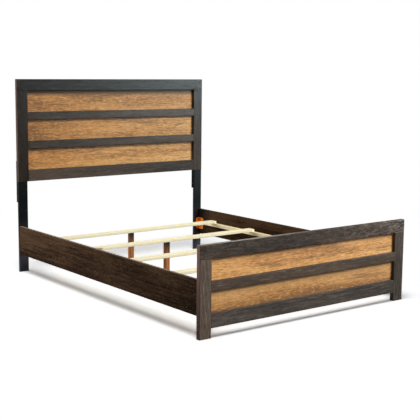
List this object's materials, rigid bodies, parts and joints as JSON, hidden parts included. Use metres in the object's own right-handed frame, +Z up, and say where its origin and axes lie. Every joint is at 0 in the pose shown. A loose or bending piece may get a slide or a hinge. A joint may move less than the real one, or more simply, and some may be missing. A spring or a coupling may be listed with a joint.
{
  "type": "bed frame",
  "caption": "Panelled wooden bed frame with a tall headboard on spliced legs, a low footboard, side rails, slats and centre supports on levelling glides.",
  "frame": {"origin": "on the floor, under the middle of the whole bed's box", "axes": "+X to the right seen from the foot of the bed, +Y from the footboard towards the headboard, +Z up"},
  "size_m": [1.6, 2.154, 1.355],
  "materials": {
    "dark_frame": "dark brown stain over wire-brushed open grain, low sheen",
    "honey_panel": "honey stain with fine straight grain, low sheen",
    "black_leg": "black paint, satin",
    "pine": "bare planed softwood",
    "stained_support": "reddish brown stain, satin",
    "yellow_zinc": "yellow zinc plate",
    "fastener": "bright zinc plate",
    "glide": "moulded, matt"
  },
  "bodies": {
    "frame": {"bracket_bolts": "fastener", "bracket_inserts": "fastener", "bracket_screws": "fastener", "foot_left_bracket": "yellow_zinc", "foot_right_bracket": "yellow_zinc", "footboard_bottom_rail": "dark_frame", "footboard_left_stile": "dark_frame", "footboard_lower_panel": "honey_panel", "footboard_mid_rail": "dark_frame", "footboard_right_stile": "dark_frame", "footboard_top_rail": "dark_frame", "footboard_upper_panel": "honey_panel", "glide_inserts": "fastener", "head_left_bracket": "yellow_zinc", "head_right_bracket": "yellow_zinc", "headboard_bottom_rail": "dark_frame", "headboard_left_leg": "black_leg", "headboard_left_stile": "dark_frame", "headboard_lower_mid_rail": "dark_frame", "headboard_lower_panel": "honey_panel", "headboard_middle_panel": "honey_panel", "headboard_right_leg": "black_leg", "headboard_right_stile": "dark_frame", "headboard_top_rail": "dark_frame", "headboard_upper_mid_rail": "dark_frame", "headboard_upper_panel": "honey_panel", "ledger_screws": "fastener", "left_ledger": "pine", "left_leg_splice": "black_leg", "left_side_rail": "dark_frame", "right_ledger": "pine", "right_leg_splice": "black_leg", "right_side_rail": "dark_frame", "slat_1": "pine", "slat_2": "pine", "slat_3": "pine", "slat_4": "pine", "splice_screws": "fastener", "support_leg_1": "stained_support", "support_leg_2": "stained_support", "support_leg_3": "stained_support", "support_leg_4": "stained_support", "support_screws": "fastener"},
    "glide_1": {"levelling_glide_1": "glide"},
    "glide_2": {"levelling_glide_2": "glide"},
    "glide_3": {"levelling_glide_3": "glide"},
    "glide_4": {"levelling_glide_4": "glide"}
  },
  "joints": [
    {"name": "glide_1_travel", "type": "slide", "parent": "frame", "child": "glide_1", "axis": [0, 0, 1], "range_m": [-0.015, 0]},
    {"name": "glide_2_travel", "type": "slide", "parent": "frame", "child": "glide_2", "axis": [0, 0, 1], "range_m": [-0.015, 0]},
    {"name": "glide_3_travel", "type": "slide", "parent": "frame", "child": "glide_3", "axis": [0, 0, 1], "range_m": [-0.015, 0]},
    {"name": "glide_4_travel", "type": "slide", "parent": "frame", "child": "glide_4", "axis": [0, 0, 1], "range_m": [-0.015, 0]}
  ]
}
